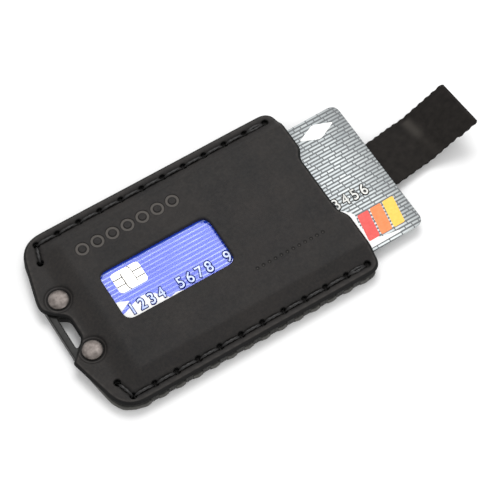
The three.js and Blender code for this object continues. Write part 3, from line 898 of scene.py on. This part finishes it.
# -------- materials
class Material:
    """A node material whose textures are placed in millimetres of the row frame."""

    def __init__(self, name):
        self.data = bpy.data.materials.new(name)
        self.data.use_nodes = True
        self.tree = self.data.node_tree
        self.shader = self.tree.nodes["Principled BSDF"]
        self.space = self.node("ShaderNodeTexCoord", {}).outputs["Object"]

    def fill(self, socket, value):
        """Links an output to the socket, or sets a constant on it; a tuple is a colour."""
        if isinstance(value, bpy.types.NodeSocket):
            self.tree.links.new(value, socket)
        else:
            socket.default_value = (*value, 1) if isinstance(value, tuple) else value

    def finish(self, **values):
        """Fills the shader's inputs and gives the material."""
        for key, value in values.items():
            self.fill(self.shader.inputs[key.replace("_", " ")], value)
        return self.data

    def node(self, kind, inputs, **settings):
        made = self.tree.nodes.new(kind)
        for key, value in settings.items():
            setattr(made, key, value)
        for key, value in inputs.items():
            self.fill(made.inputs[key], value)
        return made

    def scaled(self, stretch=(1, 1, 1)):
        scale = [s / MM for s in stretch]
        return self.node("ShaderNodeMapping", {"Vector": self.space, "Scale": scale}).outputs["Vector"]

    def noise(self, scale, detail=4, stretch=(1, 1, 1)):
        inputs = {"Vector": self.scaled(stretch), "Scale": scale, "Detail": detail}
        return self.node("ShaderNodeTexNoise", inputs).outputs["Fac"]

    def cells(self, scale):
        """A pattern of cells: 0 on the cracks between them, more towards their middles."""
        inputs = {"Vector": self.scaled(), "Scale": scale}
        return self.node("ShaderNodeTexVoronoi", inputs, feature="DISTANCE_TO_EDGE").outputs["Distance"]

    def ramp(self, value, stops):
        made = self.node("ShaderNodeValToRGB", {"Fac": value})
        elements = made.color_ramp.elements
        for i, (place, color) in enumerate(stops):
            element = elements[i] if i < 2 else elements.new(place)
            element.position = place
            element.color = (*color, 1)
        return made.outputs["Color"]

    def mottled(self, scale, detail, low, high, ends=(0.3, 0.8), stretch=(1, 1, 1)):
        """Noise between two colours."""
        return self.ramp(self.noise(scale, detail, stretch), zip(ends, (low, high)))

    def span(self, value, low, high, from_low=0.0, from_high=1.0):
        """The value's range from_low to from_high, spread over low to high."""
        inputs = {"Value": value, "From Min": from_low, "From Max": from_high, "To Min": low, "To Max": high}
        return self.node("ShaderNodeMapRange", inputs).outputs["Result"]

    def math(self, operation, first, second=0.0):
        """One arithmetic step; second is an output or a number."""
        return self.node("ShaderNodeMath", {0: first, 1: second}, operation=operation).outputs[0]

    def over(self, below, above, factor):
        """One colour laid over another, as far as factor says."""
        inputs = {"Factor": factor, 6: below, 7: above}
        return self.node("ShaderNodeMix", inputs, data_type="RGBA").outputs[2]

    def toned(self, color, light, dark):
        """The colour, moved towards the light or the dark one by the mesh's tone."""
        tone = self.node("ShaderNodeAttribute", {}, attribute_name="tone").outputs["Fac"]
        for other, at_one in ((light, 1.0), (dark, -1.0)):
            color = self.over(color, other, self.span(tone, 0.0, 1.0, 0.0, at_one))
        return color

    def along(self, axis, period):
        """A saw from 0 to 1 along one axis of the object, once a period."""
        place = self.node("ShaderNodeSeparateXYZ", {0: self.scaled((1 / period,) * 3)})
        return self.math("FRACT", place.outputs[axis])

    def bump(self, value, height, before=None):
        """A normal from the value, at a height in millimetres, on top of the normal before it."""
        inputs = {"Strength": 1.0, "Distance": height * MM, "Height": value}
        if before:
            inputs["Normal"] = before
        return self.node("ShaderNodeBump", inputs).outputs["Normal"]


def leather_material():
    m = Material("leather_black")
    grain = m.span(m.cells(1.6), 0, 1, 0.0, 0.3)
    broad = m.mottled(0.09, 3, (0.0125, 0.0117, 0.0117), (0.025, 0.0215, 0.0195), (0.3, 0.75))
    speckle = m.mottled(1.1, 5, (0.0095, 0.0093, 0.0098), (0.025, 0.022, 0.0198), (0.35, 0.7))
    mixed = m.over(broad, speckle, m.span(m.noise(0.3, 2), 0.15, 0.7))
    return m.finish(
        # the mesh's tone pales the colour for its painted highlight and pressed marks, and darkens it for
        # painted shade
        Base_Color=m.toned(mixed, (0.095, 0.086, 0.078), DARKEST),
        Roughness=m.span(m.noise(0.45, 5), 0.5, 0.66),
        Normal=m.bump(m.noise(3.4, 6), 0.03, m.bump(grain, 0.014)),
        Specular_IOR_Level=0.17,
    )


def metal_material(name, dark, light, rough, scratch=0.01, metallic=0.9, scale=0.9, specular=0.5):
    """Metal with mottled plating; where the mesh has a tone, it darkens towards painted shade and pales
    towards painted highlights.
    """
    m = Material(name)
    plating = m.mottled(scale, 6, dark, light, (0.3, 0.72))
    return m.finish(
        # the paler target is the painted highlight, DARKEST the painted shade
        Base_Color=m.toned(plating, tuple(HIGHLIGHT_LIFT * c for c in light), DARKEST),
        Roughness=m.span(m.noise(2.2, 5), *rough),
        Normal=m.bump(m.noise(6.0, 4), scratch),
        Metallic=metallic,
        Specular_IOR_Level=specular,
    )


def contact_material():
    m = Material("chip_contacts")
    plated = m.mottled(0.7, 4, (0.78, 0.77, 0.72), (0.9, 0.89, 0.85), (0.3, 0.75))
    return m.finish(
        Base_Color=m.toned(plated, (1, 1, 1), (0.03, 0.025, 0.02)),
        Roughness=m.span(m.noise(2.0, 3), 0.25, 0.36),
        Metallic=0.35,
    )


def thread_material():
    m = Material("thread_black")
    return m.finish(
        Base_Color=m.mottled(3.0, 4, (0.006, 0.0055, 0.0055), (0.02, 0.019, 0.019)),
        Normal=m.bump(m.noise(9.0, 3, (0.25, 1, 1)), 0.03),
        Roughness=0.42,
        Specular_IOR_Level=0.35,
    )


def webbing_material():
    m = Material("webbing_black")
    yarn = m.mottled(0.5, 5, (0.0095, 0.0082, 0.0074), (0.018, 0.0155, 0.0138))
    return m.finish(
        # the tone's paler colour is the painted highlight at the bend
        Base_Color=m.toned(yarn, (0.05, 0.045, 0.04), (0.01, 0.009, 0.008)),
        Normal=m.bump(m.noise(5.0, 4, (1, 0.3, 1)), 0.04),
        Roughness=0.7,
        Specular_IOR_Level=0.1,
        Sheen_Weight=0.03,
        Sheen_Roughness=0.4,
    )


def lining_material():
    m = Material("lining_cloth")
    return m.finish(
        Base_Color=m.mottled(0.9, 5, (0.010, 0.0095, 0.009), (0.021, 0.02, 0.019)),
        Normal=m.bump(m.cells(3.0), 0.02),
        Roughness=0.8,
        Specular_IOR_Level=0.2,
    )


def print_and_painted_light_material(name, low, high, scale=1.0, rough=0.22, specular=0.25):
    """One colour, a little uneven: laminate or printing on the cards, and also the digits' painted shadow and
    painted highlight.
    """
    m = Material(name)
    return m.finish(
        Base_Color=m.mottled(scale, 3, low, high, (0.3, 0.7)),
        Roughness=m.span(m.noise(1.2, 4), rough - 0.04, rough + 0.05),
        Specular_IOR_Level=specular,
    )


def blue_card_material():
    """Deep blue, with fine paler rules along the card."""
    m = Material("card_blue")
    deep = m.mottled(0.12, 2, (0.008, 0.04, 0.55), (0.035, 0.09, 0.75), (0.3, 0.75), stretch=(0.4, 1, 1))
    pale = m.mottled(0.5, 2, (0.3, 0.4, 0.95), (0.45, 0.55, 0.98), (0.3, 0.7))
    shades = [(place, (share,) * 3) for place, share in ((0.0, 0.3), (0.1, 1), (0.24, 0.9), (0.36, 0))]
    rule = m.ramp(m.along("Y", RULE_PITCH), shades)
    strength = m.math("MULTIPLY", rule, m.span(m.noise(0.06, 2), 0.35, 0.95, 0.35, 0.6))
    return m.finish(
        Base_Color=m.over(deep, pale, strength),
        Roughness=m.span(m.noise(1.2, 4), 0.05, 0.1),
        Specular_IOR_Level=0.45,
    )


def silver_card_material():
    """Silver, covered in rows of short dark dashes that close up towards the card's outer edge."""
    m = Material("card_silver")
    place = m.node("ShaderNodeSeparateXYZ", {0: m.scaled()})
    row = m.math("FLOOR", m.math("DIVIDE", place.outputs["Y"], ROW_PITCH))
    along = m.math("ADD", m.math("MULTIPLY", place.outputs["X"], 1.7), m.math("MULTIPLY", row, ROW_SHIFT))
    shifted = m.node("ShaderNodeCombineXYZ", {"X": along, "Y": place.outputs["Y"]}).outputs[0]
    bricks = {
        "Vector": shifted, "Scale": 1.0, "Mortar Size": 0.34, "Mortar Smooth": 0.15, "Brick Width": 8.2,
        "Row Height": ROW_PITCH, "Color1": (0.68, 0.73, 0.73), "Color2": (0.48, 0.53, 0.54),
        "Mortar": (0.055, 0.065, 0.07),
    }
    rows = m.node("ShaderNodeTexBrick", bricks, offset=0.5, squash=0.55, squash_frequency=3).outputs["Color"]
    slate = m.mottled(1.5, 4, (0.03, 0.035, 0.04), (0.06, 0.066, 0.07), (0.35, 0.7))
    color = m.over(rows, slate, m.span(place.outputs["X"], 0.0, 0.6, 60.0, 71.6))
    color = m.over(color, slate, m.span(place.outputs["Y"], 0.0, 0.45, 6.0, 26.0))
    return m.finish(Base_Color=color, Roughness=m.span(m.noise(1.2, 4), 0.16, 0.24), Specular_IOR_Level=0.3)


# -------- camera, lights and floor
def camera():
    azimuth, elevation, distance = math.radians(-31.85), math.radians(62.68), 0.6589
    target = Vector((0.01692, -0.00699, 0.0052))
    level = math.cos(elevation)
    back = Vector((math.sin(azimuth) * level, -math.cos(azimuth) * level, math.sin(elevation)))
    data = bpy.data.cameras.new("camera")
    data.lens = 144.1
    data.sensor_width = 36
    data.clip_start = 0.01
    made = new_object("camera", data)
    made.location = target + back * distance
    made.rotation_euler = back.to_track_quat("Z", "Y").to_euler()
    bpy.context.scene.camera = made


def area_light(name, place, aim, size, power):
    data = bpy.data.lights.new(name, "AREA")
    data.shape = "RECTANGLE"
    data.size, data.size_y = size
    data.energy = power
    made = new_object(name, data)
    made.location = place
    made.rotation_euler = (Vector(place) - Vector(aim)).to_track_quat("Z", "Y").to_euler()


def studio():
    world = bpy.data.worlds.new("studio")
    world.use_nodes = True
    background = world.node_tree.nodes["Background"].inputs
    background["Color"].default_value = (1, 1, 1, 1)
    background["Strength"].default_value = 0.88
    bpy.context.scene.world = world
    bpy.context.scene.view_settings.view_transform = "Standard"
    area_light("softbox_back", (0.27, 0.42, 0.92), (0.02, 0, 0), (0.56, 0.5), 5.2)
    area_light("strip_front", (0.3, -0.85, 0.42), (0, 0, 0), (0.7, 0.1), 1.6)
    bpy.ops.mesh.primitive_plane_add(size=4)
    floor = bpy.context.object
    floor.name = "floor"
    m = Material("floor_white")
    white = m.mottled(0.002, 2, (0.88, 0.88, 0.88), (0.9, 0.9, 0.9), (0.0, 1.0))
    floor.data.materials.append(m.finish(Base_Color=white, Roughness=0.9, Specular_IOR_Level=0.1))


# -------- put together
def finish_piece(made, material, body):
    made.data.materials.append(material)
    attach(made, body)


def finish_card(kind, turn, material, edge, face):
    """A card with its contacts and its raised number, whose digits have a painted shadow as a dark rim round
    them and a painted highlight as a pale face.
    """
    card = kind + "_card"  # the name of its node and of its body
    spot = CardFrame(card, turn)
    finish_piece(card_body("card_" + kind, card, spot), material, card)
    finish_piece(contact_plate("contacts_" + kind, card + "_chip", spot), contact, card)
    # a wider, lower dark layer as painted shadow round each digit, and a pale top as painted highlight
    finish_piece(digits("digit_shadow_rims_" + kind, spot, rise=0.14, spread=0.46), edge, card)
    finish_piece(digits("digit_faces_" + kind, spot, rise=0.2, spread=0.06), face, card)
    return spot


camera()
studio()

leather = leather_material()
dark_metal = metal_material(
    "frame_dark", (0.02, 0.02, 0.018), (0.05, 0.049, 0.045), (0.34, 0.46), metallic=0.2, specular=0.2,
)
pewter = metal_material(
    "rivet_pewter", (0.09, 0.077, 0.07), (0.25, 0.22, 0.205), (0.44, 0.56), scratch=0.012, scale=0.6,
)
thread_black = thread_material()
web = webbing_material()
contact = contact_material()
white_print = print_and_painted_light_material("print_white", (0.78, 0.78, 0.76), (0.86, 0.86, 0.85))
# the digits' dark rims are painted shadow and their pale faces painted highlight
shadow_finish = {"rough": 0.6, "specular": 0.03}
shadow_blue = print_and_painted_light_material("digit_shadow_blue", (0.004, 0.01, 0.1), (0.01, 0.025, 0.2), **shadow_finish)
shadow_dark = print_and_painted_light_material("digit_shadow_dark", (0.012, 0.011, 0.011), (0.035, 0.033, 0.03), **shadow_finish)
highlight_blue = print_and_painted_light_material("digit_highlight_blue", (0.35, 0.45, 0.85), (0.75, 0.82, 0.98), 0.6)
highlight_grey = print_and_painted_light_material("digit_highlight_grey", (0.5, 0.5, 0.47), (0.8, 0.8, 0.76), 0.6)
stripe_colors = {"red": (0.66, 0.03, 0.02), "orange": (0.8, 0.17, 0.02), "yellow": (0.84, 0.47, 0.03)}

finish_piece(front_leather(), leather, "holder")
finish_piece(frame_body(), dark_metal, "holder")
for side, name in ((1, "left"), (-1, "right")):
    finish_piece(seam_thread(side, name), thread_black, "holder")
    finish_piece(rivet_cap(name), pewter, "holder")
    finish_piece(rivet_head(name), pewter, "holder")

lining_made, lining_size = lining()
finish_piece(lining_made, lining_material(), "holder")
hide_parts("lining_sheet")

front = finish_card("front", 0.0, blue_card_material(), shadow_blue, highlight_blue)
finish_piece(printed("print_hill", front, FRONT_HILL), white_print, "front_card")
finish_piece(printed("print_cloud", front, FRONT_CLOUD), white_print, "front_card")
rear = finish_card("rear", 0.65, silver_card_material(), shadow_dark, highlight_grey)
finish_piece(printed("print_field", rear, REAR_FIELD), white_print, "rear_card")
finish_piece(printed("print_lozenge", rear, REAR_LOZENGE), white_print, "rear_card")
for index, (color, shade) in enumerate(stripe_colors.items()):
    paler = tuple(min(1, c * 1.15 + 0.02) for c in shade)
    stripe = printed("print_stripe_" + color, rear, emblem_stripe(index), 0.022)
    finish_piece(stripe, print_and_painted_light_material("print_" + color, shade, paler), "rear_card")

strap, strap_length = webbing("strap_webbing", tail_line(), STRAP_THICK, slew=True)
strap.data.materials.append(web)
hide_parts("pull_strap", "strap_tail")
blend_ends = [((HINGE_X + side * TAIL_CURVE) * MM, STRAP_Y * MM, STRAP_MIDDLE * MM) for side in (-1, 1)]
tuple(blend_ends[0])
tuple(blend_ends[1])
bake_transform(strap)

inner_line = [(RUN_START, STRAP_MIDDLE), (INNER_END, STRAP_MIDDLE)]
leg_line = [(RUN_START, LEG_MIDDLE), (LEG_END, LEG_MIDDLE)]
for name, node, line, thickness, body in (
    ("strap_turn", "strap_bend", bend_line(), LEG_THICK, "rear_card"),
    ("strap_run_inside", "strap_inner_run", inner_line, STRAP_THICK, "strap"),
    ("strap_leg_bonded", "strap_fixed_leg", leg_line, LEG_THICK, "holder"),
):
    made, length = webbing(name, line, thickness, 0.5)
    finish_piece(made, web, body)
    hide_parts(node)
    if node == "strap_inner_run":
        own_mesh(made)
    if node == "strap_fixed_leg":
        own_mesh(made)
